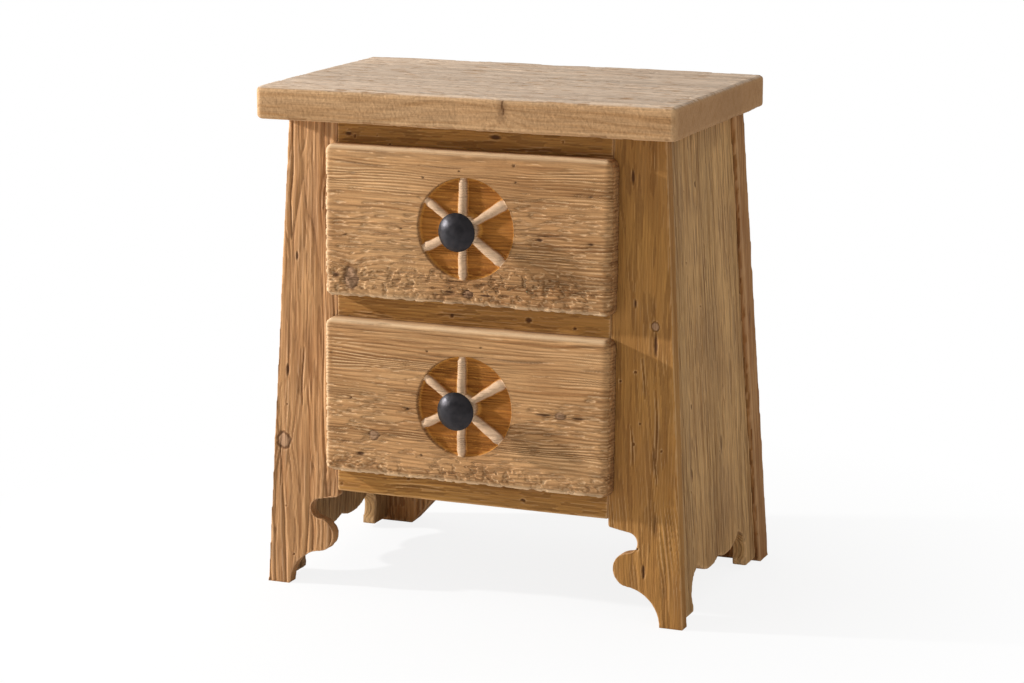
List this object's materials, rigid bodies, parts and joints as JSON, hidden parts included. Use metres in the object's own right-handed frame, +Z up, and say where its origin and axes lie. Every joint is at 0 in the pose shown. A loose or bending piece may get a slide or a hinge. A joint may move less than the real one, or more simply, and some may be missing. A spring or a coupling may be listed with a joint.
{
  "type": "nightstand with drawers",
  "caption": "Rustic old-spruce nightstand with splayed sides, scroll-cut feet and overlay drawers with carved rosettes and iron knobs.",
  "frame": {"origin": "centre of the footprint, on the floor", "axes": "+Z up, the drawers open towards -Y, +X to the right seen from the front"},
  "size_m": [0.5134, 0.3724, 0.587],
  "materials": {
    "top_wood": "matt waxed, rough sawn",
    "stile_wood": "matt waxed, hewn",
    "back_stile_wood": "matt waxed",
    "panel_wood": "matt waxed, weathered",
    "rail_wood": "matt waxed",
    "drawer_front_wood": "matt waxed, carved",
    "drawer_box_wood": "planed, bare",
    "back_board_wood": "sawn, bare",
    "inside_wood": "planed, bare",
    "dowel_wood": "bare",
    "knob_iron": "dark burnished",
    "screw_steel": "zinc"
  },
  "bodies": {
    "carcass": {"back_board_1": "back_board_wood", "back_board_2": "back_board_wood", "back_board_3": "back_board_wood", "back_board_4": "back_board_wood", "back_board_screws": "screw_steel", "back_bottom_rail": "inside_wood", "back_corner_block_left": "inside_wood", "back_corner_block_right": "inside_wood", "back_frame_dowels": "dowel_wood", "back_middle_rail": "inside_wood", "back_stile_left": "back_stile_wood", "back_stile_right": "back_stile_wood", "back_top_rail": "inside_wood", "front_bottom_rail": "rail_wood", "front_corner_block_left": "inside_wood", "front_corner_block_right": "inside_wood", "front_frame_dowels": "dowel_wood", "front_middle_rail": "rail_wood", "front_stile_left": "stile_wood", "front_stile_right": "stile_wood", "front_top_rail": "rail_wood", "guide_screws": "screw_steel", "lower_guide_left": "inside_wood", "lower_guide_right": "inside_wood", "lower_kicker_left": "inside_wood", "lower_kicker_right": "inside_wood", "lower_runner_left": "inside_wood", "lower_runner_right": "inside_wood", "runner_dowels": "dowel_wood", "side_panel_left": "panel_wood", "side_panel_right": "panel_wood", "top_cleat_left": "inside_wood", "top_cleat_right": "inside_wood", "top_screws": "screw_steel", "top_slab": "top_wood", "upper_guide_left": "inside_wood", "upper_guide_right": "inside_wood", "upper_kicker_left": "inside_wood", "upper_kicker_right": "inside_wood", "upper_runner_left": "inside_wood", "upper_runner_right": "inside_wood"},
    "upper_drawer": {"upper_drawer_back": "drawer_box_wood", "upper_drawer_bottom": "drawer_box_wood", "upper_drawer_fasteners": "dowel_wood", "upper_drawer_front": "drawer_front_wood", "upper_drawer_side_left": "drawer_box_wood", "upper_drawer_side_right": "drawer_box_wood", "upper_knob": "knob_iron", "upper_knob_screw": "screw_steel"},
    "lower_drawer": {"lower_drawer_back": "drawer_box_wood", "lower_drawer_bottom": "drawer_box_wood", "lower_drawer_fasteners": "dowel_wood", "lower_drawer_front": "drawer_front_wood", "lower_drawer_side_left": "drawer_box_wood", "lower_drawer_side_right": "drawer_box_wood", "lower_knob": "knob_iron", "lower_knob_screw": "screw_steel"}
  },
  "joints": [
    {"name": "upper_drawer_slide", "type": "slide", "parent": "carcass", "child": "upper_drawer", "axis": [0, -1, 0], "range_m": [0, 0.17]},
    {"name": "lower_drawer_slide", "type": "slide", "parent": "carcass", "child": "lower_drawer", "axis": [0, -1, 0], "range_m": [0, 0.17]}
  ]
}
